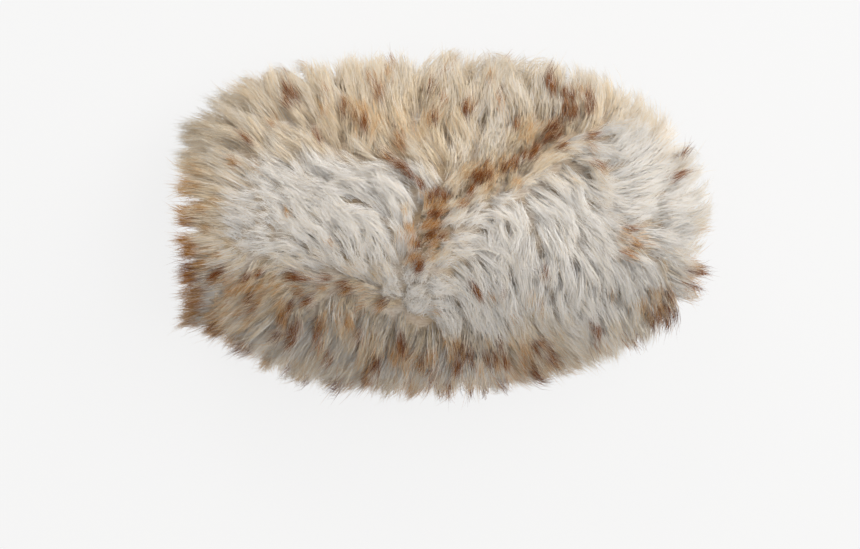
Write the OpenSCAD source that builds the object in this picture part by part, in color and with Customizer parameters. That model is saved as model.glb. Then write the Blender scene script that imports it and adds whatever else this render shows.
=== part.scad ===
// Long-pile wash mitt: two fur panels sewn round the edge, a loose lining and an elastic mouth.
// It lies on its palm. +X runs from the mouth to the fingertips, +Y across the hand, +Z up.
// The origin is at the centre of the flat that it rests on.

/* [Overall size] */
// Length over the pile, from the mouth to the fingertips
mitt_l = 276; // [262:2:290]
// Width over the pile, across the hand
mitt_w = 181; // [172:1:190]
// Height over the pile, lying on the palm
mitt_h = 95; // [92:1:100]
// How far the pile under the palm is pressed in by its own weight
press_h = 3; // [2:0.5:4]

/* [Pile] */
// Length that the pile stands off the backing
pile_t = 26; // [22:1:27]
// How far the pile reaches past the edge of the mouth
lip_l = 17; // [14:1:20]
// Length of the rounded shoulder behind the mouth
shoulder_l = 26; // [22:1:30]

/* [Mouth] */
// Width of the relaxed hand opening
mouth_w = 72; // [68:1:80]
// Height of the relaxed hand opening
mouth_h = 46; // [42:1:50]
// Length of the straight elastic cuff inside the mouth
cuff_l = 21; // [21:1:24]
// Length over which the cuff widens to the full pocket
neck_l = 38; // [32:1:44]
// Width of the elastic band
elastic_w = 10; // [8:0.5:10]
// Thickness of the elastic band
elastic_t = 0.9; // [0.7:0.05:0.9]

/* [Fabric] */
// Thickness of the backing that carries the pile
panel_t = 1.6; // [1.2:0.1:1.8]
// Thickness of the lining
lining_t = 1.0; // [0.7:0.1:1.1]
// Width of the panels' turned-in seam allowance
allowance = 4.2; // [3:0.1:4.4]
// Width of the lining's seam allowance, which faces the panels
lining_allowance = 3.2; // [2.4:0.1:3.4]
// How much narrower the lining is than the panels, on each side
lining_ease = 10; // [10:0.5:14]

/* [Thread] */
// Radius of the sewing thread
thread_r = 0.25; // [0.15:0.05:0.25]
// Pitch of the whip stitches along the panel seam
panel_pitch = 4.5; // [4:0.5:8]
// Pitch of the whip stitches along the lining seam
lining_pitch = 5.5; // [4:0.5:8]
// Number of stitches in one row round the mouth
mouth_stitches = 46; // [36:2:60]

/* [Hidden] */

// Half length, and the X of the mouth's raw edge
half_l = mitt_l / 2;
edge_x = -half_l + lip_l;
// The seam lies halfway up the pile that isn't pressed
seam_z = (mitt_h - press_h) / 2;
half_h = (mitt_h + press_h) / 2;
// Half the gap between the back and palm halves where they meet at the seam
seam_gap = 0.05;

// Layers are placed by "out", their distance outwards from the inner face of the casing
casing_t = 0.7;
casing_edge = [2.6, 3.3];
lining_in = 3.4;
lining_out = lining_in + lining_t;
panel_in = 5.4;
panel_out = panel_in + panel_t;
binding_t = 0.8;
binding_inner = 1.7;
binding_outer = panel_out + 0.3;
pile_in = panel_out + 0.3;
pile_in_mouth = binding_outer + binding_t + 4 * thread_r;
pile_edge_t = 1;
crest_out = pile_in_mouth + pile_edge_t + 2;
// A seam allowance starts this far from its own layer at the mouth
fold = 0.3;
// Clear gap under a stitch that lies on a curved face
stitch_gap = 0.2;

// The plan outline is 1 at mid length and falls to 0 at t = 1, as pow(1 - pow(t, a), 1 / b):
// [a, b] for the +Y and -Y edges, towards the mouth and towards the fingertips
mouth_form = [[2, 6], [2, 3.4]];
tip_form = [[2.45, 2.45], [1.25, 3.2]];
// The same for the height
mouth_form_h = [2, 6];
tip_form_h = [2.6, 2.2];
// Exponent of the cross-section: 2 is an ellipse, and more is boxier
body_power = 2.4;

// Rings along a layer, steps over half a section, and rings in the pile's rolled front lip
rings = 28;
arc_steps = 20;
lip_inner_rings = 3;
lip_outer_rings = 5;
ring_step = 180 / arc_steps;

function smooth(t) = let (c = min(max(t, 0), 1)) c * c * (3 - 2 * c);
function fall(t, form) = pow(1 - pow(min(t, 1), form[0]), 1 / form[1]);
function plan(x, end_x, side) =
    x < 0 ? fall(-x / half_l, mouth_form[side]) : fall(x / end_x, tip_form[side]);
function rise(x, end_x) =
    x < 0 ? fall(-x / half_l, mouth_form_h) : fall(x / end_x, tip_form_h);

// How far the cuff has widened into the pocket at x, from 0 to 1
function neck(x) = smooth((x - edge_x - cuff_l) / neck_l);
function power(x) = 2 + (body_power - 2) * neck(x);
// Depth of a layer below the tips of the pile, in the pocket
function depth(out) = pile_t + panel_out - out;
function end_of(out, inset) = half_l - depth(out) - inset;

// Half width of a layer on side 0 (+Y) or 1 (-Y), and its half height
function layer_w(x, out, inset, side) =
    let (body = (mitt_w / 2 - depth(out) - inset) * plan(x, end_of(out, inset), side),
         mouth = mouth_w / 2 + out)
    mouth + (body - mouth) * neck(x);
function layer_h(x, out, inset) =
    let (body = (half_h - depth(out)) * rise(x, end_of(out, inset)),
         mouth = mouth_h / 2 + out)
    mouth + (body - mouth) * neck(x);

// Half a section over the top, from +Y to -Y, standing on the plane z = base
function arch(x, w, h, base, p) =
    [for (i = [0 : arc_steps])
        let (a = i * ring_step, c = cos(a), s = sin(a))
        [x,
         (c >= 0 ? w[0] : -w[1]) * (abs(c) < 1e-9 ? 0 : pow(abs(c), 2 / p)),
         base + (h - base) * (s < 1e-9 ? 0 : pow(s, 2 / p))]];

// Stations along a layer, close together at both ends
function station(i, end_x) = edge_x + (end_x - edge_x) * (1 - cos(180 * i / rings)) / 2;
function layer_arch(i, out, inset, base) =
    let (x = station(i, end_of(out, inset)))
    arch(x, [for (k = [0, 1]) layer_w(x, out, inset, k)], layer_h(x, out, inset), base, power(x));
function reversed(v) = [for (i = [len(v) - 1 : -1 : 0]) v[i]];

// Edge of a seam allowance on side k at height z
function hem_point(i, out, inset, k, z) =
    let (x = station(i, end_of(out, inset)))
    [x, (k == 0 ? 1 : -1) * layer_w(x, out, inset, k), z];

// A closed skin over loops of points that shrink to a few pole points at the fingertip end.
// group[j] is the pole point that position j of a loop runs to, and cap closes the first loop.
module skin(loops, pole, group, cap) {
    n = len(loops);
    p = len(loops[0]);
    points = concat([for (loop = loops) each loop], pole);
    function id(i, j) = i < n ? i * p + j % p : n * p + group[j % p];
    sides = [for (i = [0 : n - 1], j = [0 : p - 1])
        let (q = [id(i, j), id(i, j + 1), id(i + 1, j + 1), id(i + 1, j)])
        each [[q[0], q[1], q[2]], [q[0], q[2], q[3]]]];
    ends = [for (q = cap) each [[q[0], q[3], q[2]], [q[0], q[2], q[1]]]];
    whole = [for (f = concat(sides, ends)) if (f[0] != f[1] && f[1] != f[2] && f[2] != f[0]) f];
    polyhedron(points = points, faces = whole);
}

// Quads between an outer arch at positions 0 to arc_steps and an inner one that starts at "from"
function arch_cap(from) =
    [for (j = [0 : arc_steps - 1]) [j, j + 1, from + arc_steps - j - 1, from + arc_steps - j]];

// Upper half of a fur panel's backing, with its allowance turned in along the seam
module half_panel() {
    last = arc_steps;
    hem_z = [seam_gap, panel_t];
    hem_out = panel_in - fold;
    loops = [for (i = [0 : rings - 1])
        concat(layer_arch(i, panel_out, 0, hem_z[0]),
               [for (z = hem_z) hem_point(i, hem_out, allowance, 1, z)],
               reversed(layer_arch(i, panel_in, 0, hem_z[1])),
               [for (z = reversed(hem_z)) hem_point(i, hem_out, allowance, 0, z)])];
    pole = [[end_of(panel_out, 0), 0, hem_z[0]], [end_of(hem_out, allowance), 0, hem_z[0]],
            [end_of(hem_out, allowance), 0, hem_z[1]], [end_of(panel_in, 0), 0, hem_z[1]]];
    group = concat([for (j = [0 : last]) 0], [1, 2], [for (j = [0 : last]) 3], [2, 1]);
    inner = last + 3;
    cap = concat(arch_cap(inner),
                 [[0, inner + last, inner + last + 1, inner + last + 2]],
                 [[last + 1, last + 2, inner, last]]);
    skin(loops, pole, group, cap);
}

// Upper half of the lining, with its allowance turned out along the seam
module half_lining() {
    last = arc_steps;
    hem_z = [seam_gap, lining_t];
    hem_out = lining_out + fold;
    hem_inset = lining_ease - lining_allowance;
    loops = [for (i = [0 : rings - 1])
        concat(layer_arch(i, lining_out, lining_ease, hem_z[1]),
               [for (z = reversed(hem_z)) hem_point(i, hem_out, hem_inset, 1, z)],
               reversed(layer_arch(i, lining_in, lining_ease, hem_z[0])),
               [for (z = hem_z) hem_point(i, hem_out, hem_inset, 0, z)])];
    pole = [[end_of(lining_out, lining_ease), 0, hem_z[1]], [end_of(hem_out, hem_inset), 0, hem_z[1]],
            [end_of(hem_out, hem_inset), 0, hem_z[0]], [end_of(lining_in, lining_ease), 0, hem_z[0]]];
    group = concat([for (j = [0 : last]) 0], [1, 2], [for (j = [0 : last]) 3], [2, 1]);
    inner = last + 3;
    cap = concat(arch_cap(inner),
                 [[0, inner + last, inner + last + 1, inner + last + 2]],
                 [[last + 1, last + 2, inner, last]]);
    skin(loops, pole, group, cap);
}

// The tips of the pile: a lip rolled round the mouth, then the plump outer form
shoulder_x = -half_l + shoulder_l;
crest_w = mouth_w / 2 + crest_out;
crest_h = mouth_h / 2 + crest_out;
function tips_w(x, side) = mitt_w / 2 * plan(x, half_l, side);
function tips_h(x) = half_h * rise(x, half_l);
// The outer form carried straight on past the shoulder, for the lip to roll in from
function past_shoulder_w(x, side) =
    let (here = tips_w(shoulder_x, side))
    here + (tips_w(shoulder_x + 1, side) - here) * (x - shoulder_x);
function past_shoulder_h(x) =
    let (here = tips_h(shoulder_x))
    here + (tips_h(shoulder_x + 1) - here) * (x - shoulder_x);
function lip_inner(i) =
    let (a = 90 * i / lip_inner_rings,
         out = pile_in_mouth + pile_edge_t + (crest_out - pile_in_mouth - pile_edge_t) * (1 - cos(a)),
         w = mouth_w / 2 + out)
    arch(edge_x - lip_l * sin(a), [w, w], mouth_h / 2 + out, seam_gap, 2);
function lip_outer(i) =
    let (a = 90 * i / lip_outer_rings,
         x = shoulder_x - shoulder_l * cos(a),
         w = [for (k = [0, 1]) crest_w + (past_shoulder_w(x, k) - crest_w) * sin(a)],
         h = crest_h + (past_shoulder_h(x) - crest_h) * sin(a))
    arch(x, w, h, seam_gap, 2 + (body_power - 2) * sin(a));
function tips_arch(i) =
    i < lip_inner_rings ? lip_inner(i) :
    i < lip_inner_rings + lip_outer_rings ? lip_outer(i - lip_inner_rings) :
    let (first = lip_inner_rings + lip_outer_rings,
         x = shoulder_x + (half_l - shoulder_x) * sin(90 * (i - first) / (rings - first)))
    arch(x, [tips_w(x, 0), tips_w(x, 1)], tips_h(x), seam_gap, body_power);

// The roots of the pile: over the binding's outer leg first, then on the backing
function roots_out(x) = pile_in_mouth + (pile_in - pile_in_mouth) * smooth((x - edge_x - 6) / 4);
function roots_arch(i) =
    let (x = station(i, end_of(pile_in, 0)), out = roots_out(x))
    arch(x, [for (k = [0, 1]) layer_w(x, out, 0, k)], layer_h(x, out, 0), seam_gap, power(x));

// Upper half of the pile, as one plain solid from roots to tips
module half_pile() {
    last = arc_steps;
    loops = [for (i = [0 : rings - 1]) concat(tips_arch(i), reversed(roots_arch(i)))];
    pole = [[half_l, 0, seam_gap], [end_of(pile_in, 0), 0, seam_gap]];
    group = concat([for (j = [0 : last]) 0], [for (j = [0 : last]) 1]);
    skin(loops, pole, group, arch_cap(last + 1));
}

// Places a half that is drawn upwards from the seam plane
module above_seam() translate([0, 0, seam_z]) children();
module below_seam() translate([0, 0, seam_z]) mirror([0, 0, 1]) children();

module back_pile() {
    color("antiquewhite")
    above_seam() half_pile();
}

module palm_pile() {
    color("navajowhite")
    difference() {
        below_seam() half_pile();
        translate([-mitt_l, -mitt_w, -mitt_h])
            cube([2 * mitt_l, 2 * mitt_w, mitt_h]);
    }
}

module back_panel() {
    color("tan")
    above_seam() half_panel();
}

module palm_panel() {
    color("burlywood")
    below_seam() half_panel();
}

module lining_back() {
    color("whitesmoke")
    above_seam() half_lining();
}

module lining_palm() {
    color("gainsboro")
    below_seam() half_lining();
}

// A straight run of thread from p to q
module thread(p, q, r) {
    v = q - p;
    translate((p + q) / 2)
    rotate([0, acos(v[2] / norm(v)), atan2(v[1], v[0])])
    cylinder(r = r, h = norm(v), center = true, $fn = 16);
}

// A hem's plan curve from the neck on the +Y side, round the fingertips and back on the -Y side.
// It passes through the same stations as the layer itself.
seam_from = 0.86;
function hem_curve(out, inset) =
    let (first = min([for (i = [0 : rings]) if (neck(station(i, end_of(out, inset))) > seam_from) i]))
    concat([for (i = [first : rings - 1]) flat(hem_point(i, out, inset, 0, 0))],
           [[end_of(out, inset), 0]],
           [for (i = [rings - 1 : -1 : first]) flat(hem_point(i, out, inset, 1, 0))]);
function flat(p) = [p[0], p[1]];
function run_lengths(c) =
    [for (i = 0, s = 0; i < len(c); s = s + (i < len(c) - 1 ? norm(c[i + 1] - c[i]) : 0), i = i + 1) s];
// Point at length s along a curve, and the direction out of the mitt there
function along(c, runs, s) =
    [for (k = [0, 1]) lookup(s, [for (i = [0 : len(c) - 1]) [runs[i], c[i][k]]])];
function outward(c, runs, s) =
    let (v = along(c, runs, s + 0.5) - along(c, runs, s - 0.5))
    [-v[1], v[0]] / norm(v);

// Where the lining is tacked to the panels: at the two fingertip corners and the middle of the end
tack_at = [0.33, 0.5, 0.67];
tack_clear = 3.6;
tack_end_gap = 0.35;
panel_hem = hem_curve(panel_in - fold, allowance);
panel_runs = run_lengths(panel_hem);
lining_hem = hem_curve(lining_out + fold, lining_ease - lining_allowance);
lining_runs = run_lengths(lining_hem);
function tack_point(k) = along(lining_hem, lining_runs, tack_at[k] * lining_runs[len(lining_runs) - 1]);
function clear_of_tacks(p) = min([for (k = [0 : len(tack_at) - 1]) norm(p - tack_point(k))]) > tack_clear;

// One stitch whipped over the edge of two allowances: a U open towards +X, thick in Y
module whip_stitch(reach, half_t) {
    w = 2 * thread_r;
    inner_h = half_t + stitch_gap;
    rotate([90, 0, 0])
    linear_extrude(height = w, center = true)
    polygon([[reach, inner_h], [stitch_gap - w, inner_h], [stitch_gap - w, -inner_h],
             [reach, -inner_h], [reach, -inner_h - w], [stitch_gap - 2 * w, -inner_h - w],
             [stitch_gap - 2 * w, inner_h + w], [reach, inner_h + w]]);
}

// Whip stitches along a hem. turn = 0 where the layer lies outside the hem, 180 where inside.
module whip_row(curve, runs, pitch, reach, half_t, turn) {
    total = runs[len(runs) - 1];
    count = floor((total - pitch) / pitch);
    for (i = [0 : count]) {
        s = pitch / 2 + i * (total - pitch) / count;
        p = along(curve, runs, s);
        d = outward(curve, runs, s);
        if (clear_of_tacks(p))
            translate([p[0], p[1], seam_z])
            rotate([0, 0, atan2(d[1], d[0]) + turn])
            whip_stitch(reach, half_t);
    }
}

module panel_stitches() {
    color("sienna")
    whip_row(panel_hem, panel_runs, panel_pitch, allowance * 0.6, panel_t, 0);
}

module lining_stitches() {
    color("silver")
    whip_row(lining_hem, lining_runs, lining_pitch, lining_allowance * 0.6, lining_t, 180);
}

// Short bars of thread that hold the lining's end to the panel seam
module lining_tacks() {
    gap = lining_ease - lining_allowance - allowance + (panel_in - lining_out) - 2 * fold;
    color("dimgray")
    for (k = [0 : len(tack_at) - 1]) {
        s = tack_at[k] * lining_runs[len(lining_runs) - 1];
        p = along(lining_hem, lining_runs, s);
        d = outward(lining_hem, lining_runs, s);
        for (shift = [-1, 0, 1])
            translate([p[0] - d[1] * shift, p[1] + d[0] * shift, seam_z])
            rotate([0, 90, atan2(d[1], d[0])])
            translate([0, 0, tack_end_gap])
            cylinder(r = thread_r, h = gap - 2 * tack_end_gap, $fn = 16);
    }
}

// A ring round the mouth whose profile is a list of [distance from the edge, out]
function mouth_point(a, back, out) =
    [edge_x + back, (mouth_w / 2 + out) * cos(a), seam_z + (mouth_h / 2 + out) * sin(a)];
module mouth_ring(profile) {
    n = 2 * arc_steps;
    p = len(profile);
    points = [for (i = [0 : n - 1], q = profile) mouth_point(i * ring_step, q[0], q[1])];
    faces = [for (i = [0 : n - 1], j = [0 : p - 1])
        let (a = i * p + j, b = i * p + (j + 1) % p,
             c = (i + 1) % n * p + (j + 1) % p, d = (i + 1) % n * p + j)
        each [[a, c, b], [a, d, c]]];
    polyhedron(points = points, faces = faces);
}

// A row of thread runs round the mouth
module mouth_row(back, out) {
    step = 360 / mouth_stitches;
    for (i = [0 : mouth_stitches - 1])
        thread(mouth_point((i - 0.32) * step, back, out), mouth_point((i + 0.32) * step, back, out), thread_r);
}

// Woven tape folded over the raw edges of the panels, the lining and the casing
binding_row = 2.2;
module mouth_binding() {
    outer = binding_outer + binding_t;
    inner = binding_inner;
    color("saddlebrown")
    mouth_ring([[5.5, outer], [-0.5, outer], [-1, outer - 0.5], [-1, inner + 0.5], [-0.5, inner],
                [3.4, inner], [3.4, inner + binding_t], [-0.1, inner + binding_t],
                [-0.2, binding_outer - 0.1], [-0.1, binding_outer], [5.5, binding_outer]]);
}

module binding_stitches() {
    color("peru") {
        mouth_row(binding_row, binding_inner - stitch_gap - thread_r);
        mouth_row(binding_row, binding_outer + binding_t + thread_r + 0.05);
    }
}

// Tape sewn over the elastic: both edges lie on the lining and the middle stands clear
elastic_back = 6;
casing_start = 0.2;
casing_wall = [5.6, 6 + elastic_w + 0.4];
casing_end = casing_wall[1] + 3.4;
module elastic_casing() {
    ramp = 0.8;
    low = casing_edge[0];
    high = casing_edge[1];
    color("wheat")
    mouth_ring([[casing_start, high], [casing_start, low], [casing_wall[0] - ramp, low],
                [casing_wall[0], 0], [casing_wall[1], 0], [casing_wall[1] + ramp, low],
                [casing_end, low], [casing_end, high], [casing_wall[1] + ramp - 0.4, high],
                [casing_wall[1] - 0.3, casing_t], [casing_wall[0] + 0.3, casing_t],
                [casing_wall[0] - ramp + 0.4, high]]);
}

module casing_stitches() {
    out = casing_edge[0] - stitch_gap - thread_r;
    color("darkgoldenrod") {
        mouth_row(casing_wall[0] - 1.4, out);
        mouth_row(casing_wall[1] + 2.2, out);
    }
}

// Elastic band wound a little over one turn, so that its ends lap under the palm
elastic_in = 1.25;
elastic_rise = 1.0;
lap_steps = 2;
lap_a = 270 - ring_step * lap_steps / 2;
module cuff_elastic() {
    n = 2 * arc_steps + lap_steps;
    points = [for (i = [0 : n])
        let (a = lap_a + i * ring_step, out = elastic_in + elastic_rise * i / (2 * arc_steps))
        each [mouth_point(a, elastic_back, out), mouth_point(a, elastic_back + elastic_w, out),
              mouth_point(a, elastic_back + elastic_w, out + elastic_t),
              mouth_point(a, elastic_back, out + elastic_t)]];
    sides = [for (i = [0 : n - 1], j = [0 : 3])
        let (a = i * 4 + j, b = i * 4 + (j + 1) % 4, c = b + 4, d = a + 4)
        each [[a, b, c], [a, c, d]]];
    ends = [[0, 3, 2], [0, 2, 1], [4 * n, 4 * n + 1, 4 * n + 2], [4 * n, 4 * n + 2, 4 * n + 3]];
    color("ivory")
    polyhedron(points = points, faces = concat(sides, ends));
}

// Zigzag thread across the lap in the elastic
module elastic_join_stitches() {
    zigs = 6;
    out = (casing_t + elastic_in) / 2;
    step = ring_step * lap_steps * 0.8 / zigs;
    color("black")
    for (row = [0.3, 0.7], i = [0 : zigs - 1])
        thread(mouth_point(270 + (i - zigs / 2 + 0.1) * step, elastic_back + elastic_w * row - 1, out),
               mouth_point(270 + (i - zigs / 2 + 0.9) * step, elastic_back + elastic_w * row + 1, out),
               0.15);
}

back_pile();
palm_pile();
back_panel();
palm_panel();
panel_stitches();
lining_back();
lining_palm();
lining_stitches();
lining_tacks();
mouth_binding();
binding_stitches();
elastic_casing();
casing_stitches();
cuff_elastic();
elastic_join_stitches();
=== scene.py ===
"""Looks of the long-pile wash mitt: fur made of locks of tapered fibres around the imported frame.

Everything is in metres in the CAD frame: +X from the mouth to the fingertips, +Z up.
"""
import math

import bmesh
import bpy
import numpy as np
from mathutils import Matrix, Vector, noise
from mathutils.bvhtree import BVHTree
from mathutils.kdtree import KDTree


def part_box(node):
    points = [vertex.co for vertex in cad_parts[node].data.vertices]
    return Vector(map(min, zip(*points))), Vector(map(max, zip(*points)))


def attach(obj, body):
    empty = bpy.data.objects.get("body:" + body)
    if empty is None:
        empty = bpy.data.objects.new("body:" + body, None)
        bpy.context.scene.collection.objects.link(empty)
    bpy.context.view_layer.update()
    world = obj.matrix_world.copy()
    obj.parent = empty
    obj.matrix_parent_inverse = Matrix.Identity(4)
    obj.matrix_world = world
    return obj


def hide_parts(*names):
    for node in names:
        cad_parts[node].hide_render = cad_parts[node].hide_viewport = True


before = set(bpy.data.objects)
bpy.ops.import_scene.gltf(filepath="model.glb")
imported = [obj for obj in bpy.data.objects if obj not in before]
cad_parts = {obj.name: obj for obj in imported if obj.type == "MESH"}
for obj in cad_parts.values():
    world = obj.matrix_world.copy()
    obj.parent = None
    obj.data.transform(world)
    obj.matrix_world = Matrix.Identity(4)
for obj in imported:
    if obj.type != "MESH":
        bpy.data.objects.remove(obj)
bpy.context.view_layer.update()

MM = 0.001
BODY = "root"

# ---------------------------------------------------------------------------
# Measures taken from the frame
# ---------------------------------------------------------------------------
LOW, HIGH = (np.array(corner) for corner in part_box("back_pile"))
SEAM_Z = LOW[2]
LENGTH_HALF = HIGH[0]
WIDTH_HALF = max(HIGH[1], -LOW[1])
EDGE_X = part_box("back_panel")[0][0]
BINDING_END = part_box("mouth_binding")[1][0]
AXIS_FROM, AXIS_TO = -0.085, 0.055

# ---------------------------------------------------------------------------
# Fur: sizes and numbers
# ---------------------------------------------------------------------------
STRANDS = 112000
PALM_SHARE = 0.28
BIG_LOCK = 10 * MM
SMALL_LOCK = 3.3 * MM
STRAND_POINTS = 7
ROOT_R = 0.15 * MM
PIECE_STRANDS = 5600
UNDERWOOL_SHARE = 0.42
# Share of the outward way in the fibres' shading normals
SOFT_SHADE = 0.5
# Locks at the mouth: how far they reach past their roots, and how far they rise
LIP_REACH = 17.5 * MM
LIP_RISE = 1.5 * MM, 12 * MM
LIP_FROM, LIP_WIDTH = -0.103, 0.007
# Locks closer to the parting than this stand up more
PARTING_WIDTH = 16 * MM
# Tips of locks darker than this are drawn together and stand proud
DARK_LOCK = 0.85
# How many of the first roots are looked through for locks
BIG_ROOTS, SMALL_ROOTS = 6000, 40000

# Stitches in the frame and the thread material that each of them takes
THREAD_NODES = {"panel_stitches": "tan_thread", "lining_stitches": "white_thread",
                "lining_tacks": "white_thread", "binding_stitches": "tan_thread",
                "casing_stitches": "tan_thread", "elastic_join_stitches": "dark_thread"}

TIP_LEVELS = 16
WARM_LEVELS = 4
COLUMNS = TIP_LEVELS * WARM_LEVELS
# A fibre's UV keeps this share of its column's width clear on each side
UV_INSET = 0.12

rng = np.random.default_rng(5)
# Without a seed, Blender takes the offset of its vector noise from the clock
noise.seed_set(1)


def smooth(t):
    c = np.clip(t, 0, 1)
    return c * c * (3 - 2 * c)


def unit(v):
    return v / np.maximum(np.linalg.norm(v, axis=-1, keepdims=True), 1e-12)


def noise_at(points, scale, seed):
    """Smooth vector noise, one row per point, about -1 to 1. scale is in metres."""
    shift = Vector((seed * 17.3, seed * 7.1, seed * 3.7))
    return np.array([noise.noise_vector(Vector(p) / scale + shift) for p in points])


# ---------------------------------------------------------------------------
# Surfaces of the frame
# ---------------------------------------------------------------------------
def node_mesh(name):
    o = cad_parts[name]
    mesh = o.data
    mesh.calc_loop_triangles()
    points = np.empty(len(mesh.vertices) * 3, np.float32)
    mesh.vertices.foreach_get("co", points)
    tris = np.empty(len(mesh.loop_triangles) * 3, np.int32)
    mesh.loop_triangles.foreach_get("vertices", tris)
    return points.reshape(-1, 3).astype(float), tris.reshape(-1, 3)


def tree_of(*names):
    points, tris, n = [], [], 0
    for name in names:
        p, t = node_mesh(name)
        points.append(p)
        tris.append(t + n)
        n += len(p)
    points, tris = np.concatenate(points), np.concatenate(tris)
    return BVHTree.FromPolygons([tuple(p) for p in points], [tuple(t) for t in tris])


def axis_point(p):
    """The nearest point of the mitt's inner axis, a straight line along X in the seam plane."""
    out = np.zeros_like(p)
    out[..., 0] = np.clip(p[..., 0], AXIS_FROM, AXIS_TO)
    out[..., 2] = SEAM_Z
    return out


def backing_faces(node):
    """Corner points and smooth corner normals of the faces that carry the pile."""
    points, tris = node_mesh(node)
    a, b, c = (points[tris[:, i]] for i in range(3))
    normal = np.cross(b - a, c - a)
    centre = (a + b + c) / 3
    outer = np.sum(normal * (centre - axis_point(centre)), axis=1) > 0
    direction = unit(normal)
    outer &= ~((direction[:, 0] < -0.9) & (centre[:, 0] < EDGE_X + MM))
    outer &= np.abs(direction[:, 2] * np.sign(centre[:, 2] - SEAM_Z)) > -0.5
    tris, normal = tris[outer], normal[outer]
    key = np.round(points / (0.01 * MM)).astype(np.int64)
    _, same = np.unique(key, axis=0, return_inverse=True)
    same = same.reshape(-1)
    summed = np.zeros((same.max() + 1, 3))
    for i in range(3):
        np.add.at(summed, same[tris[:, i]], normal)
    corner_normals = unit(summed)[same[tris]]
    return points[tris], corner_normals, np.linalg.norm(normal, axis=1) / 2


def scatter(faces, count):
    """Random points on the faces, with their normals, closer together at the mouth and the parting."""
    corners, normals, area = faces
    middle = corners.mean(1)
    beside = np.exp(-(np.linalg.norm(from_parting(middle), axis=1) / (11 * MM)) ** 2)
    beside *= normals.mean(1)[:, 2] > 0.3
    area = area * (1 + 1.8 * mouth_share(middle) + 0.8 * beside + 0.7 * seam_share(middle))
    pick = rng.choice(len(area), size=count, p=area / area.sum())
    u, v = rng.random(count), rng.random(count)
    flip = u + v > 1
    u[flip], v[flip] = 1 - u[flip], 1 - v[flip]
    weight = np.stack([1 - u - v, u, v], axis=1)[:, :, None]
    return (corners[pick] * weight).sum(1), unit((normals[pick] * weight).sum(1))


def spread(points, spacing):
    """Indices of a subset whose members stand at least spacing apart."""
    cells, kept = {}, []
    for i, p in enumerate(points):
        cell = tuple(int(x) for x in np.floor(p / spacing))
        near = (cells.get((cell[0] + a, cell[1] + b, cell[2] + c), ())
                for a in (-1, 0, 1) for b in (-1, 0, 1) for c in (-1, 0, 1))
        if all(np.dot(p - points[j], p - points[j]) > spacing ** 2 for row in near for j in row):
            cells.setdefault(cell, []).append(i)
            kept.append(i)
    return np.array(kept)


def nearest(points, centres):
    """Index of the nearest centre to each point."""
    tree = KDTree(len(centres))
    for i, centre in enumerate(centres):
        tree.insert(centre, i)
    tree.balance()
    return np.array([tree.find(p)[1] for p in points])


# ---------------------------------------------------------------------------
# How the pile lies
# ---------------------------------------------------------------------------
TIPS = tree_of("back_pile", "palm_pile")
# The line across the back from which the pile falls to either side, in millimetres from above
PARTING = [(73, 63), (60, 50), (46, 40), (17, 21), (3, 12), (-5, -5), (-17, -33)]
UP_THE_PARTING = np.array([0.6, 0.8, 0.0])


def from_parting(p):
    """Vector in plan from the nearest point of the parting line to each point."""
    best = np.full(len(p), np.inf)
    away = np.zeros((len(p), 3))
    line = np.array(PARTING) * MM
    for start, end in zip(line[:-1], line[1:]):
        along = end - start
        t = np.clip((p[:, :2] - start) @ along / (along @ along), 0, 1)
        gap = p[:, :2] - (start + t[:, None] * along)
        d = np.hypot(gap[:, 0], gap[:, 1])
        nearer = d < best
        best[nearer] = d[nearer]
        away[nearer, :2] = gap[nearer]
    return away


def mouth_share(p):
    """1 at the mouth's edge, 0 from about 30 mm inside it."""
    return smooth((-0.090 - p[:, 0]) / 0.022)


def lip_share(p):
    """A column: 1 for locks at the very edge of the mouth, which grow outwards over it, and 0 inside."""
    return smooth((LIP_FROM - p[:, 0]) / LIP_WIDTH)[:, None]


def reach_share(p):
    """The share of their reach that locks keep: a quarter on the parting, all of it away from it."""
    return 0.25 + 0.75 * smooth(np.linalg.norm(from_parting(p), axis=1) / PARTING_WIDTH)


def seam_share(p):
    """1 at the seam between the back and the palm, falling to 0 some 12 mm away from it."""
    return np.exp(-((p[:, 2] - SEAM_Z) / (6 * MM)) ** 2)


def flow(p, n):
    """The way the pile leans at p: away from the parting in the middle, outwards near the edges."""
    plan = np.stack([p[:, 0] / LENGTH_HALF ** 2, p[:, 1] / WIDTH_HALF ** 2, np.zeros(len(p))], 1)
    outward = unit(plan)
    reach = (np.abs(p[:, 0] / LENGTH_HALF) ** 2.6 + np.abs(p[:, 1] / WIDTH_HALF) ** 2.6) ** (1 / 2.6)
    edge = smooth((reach - 0.35) / 0.45)[:, None]
    away = from_parting(p)
    beside = smooth(1.2 - np.linalg.norm(away, axis=1) / (12 * MM))[:, None]
    inner = unit(away) * (1 - beside) + UP_THE_PARTING * beside
    lean = outward * edge + inner * (1 - edge)
    mouth = mouth_share(p)[:, None]
    lean = lean * (1 - mouth) + np.array([-1.0, 0, 0]) * mouth
    lean += (1 - 0.6 * mouth) * (1.1 * noise_at(p, 0.034, 1) + 0.75 * noise_at(p, 0.013, 2))
    lean[:, 2] -= 0.25
    lean -= n * np.sum(lean * n, axis=1, keepdims=True)
    return unit(lean)


def envelope(points):
    """Distance from the axis to the CAD pile's tips in the direction of each point."""
    origin = axis_point(points)
    direction = unit(points - origin)
    far = 0.3
    out = np.empty(len(points))
    for i, (o, d) in enumerate(zip(origin, direction)):
        hit = TIPS.ray_cast(Vector(o + d * far), Vector(-d), far)
        out[i] = far - hit[3] if hit[0] is not None else 0.06
    return origin, direction, out


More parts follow.
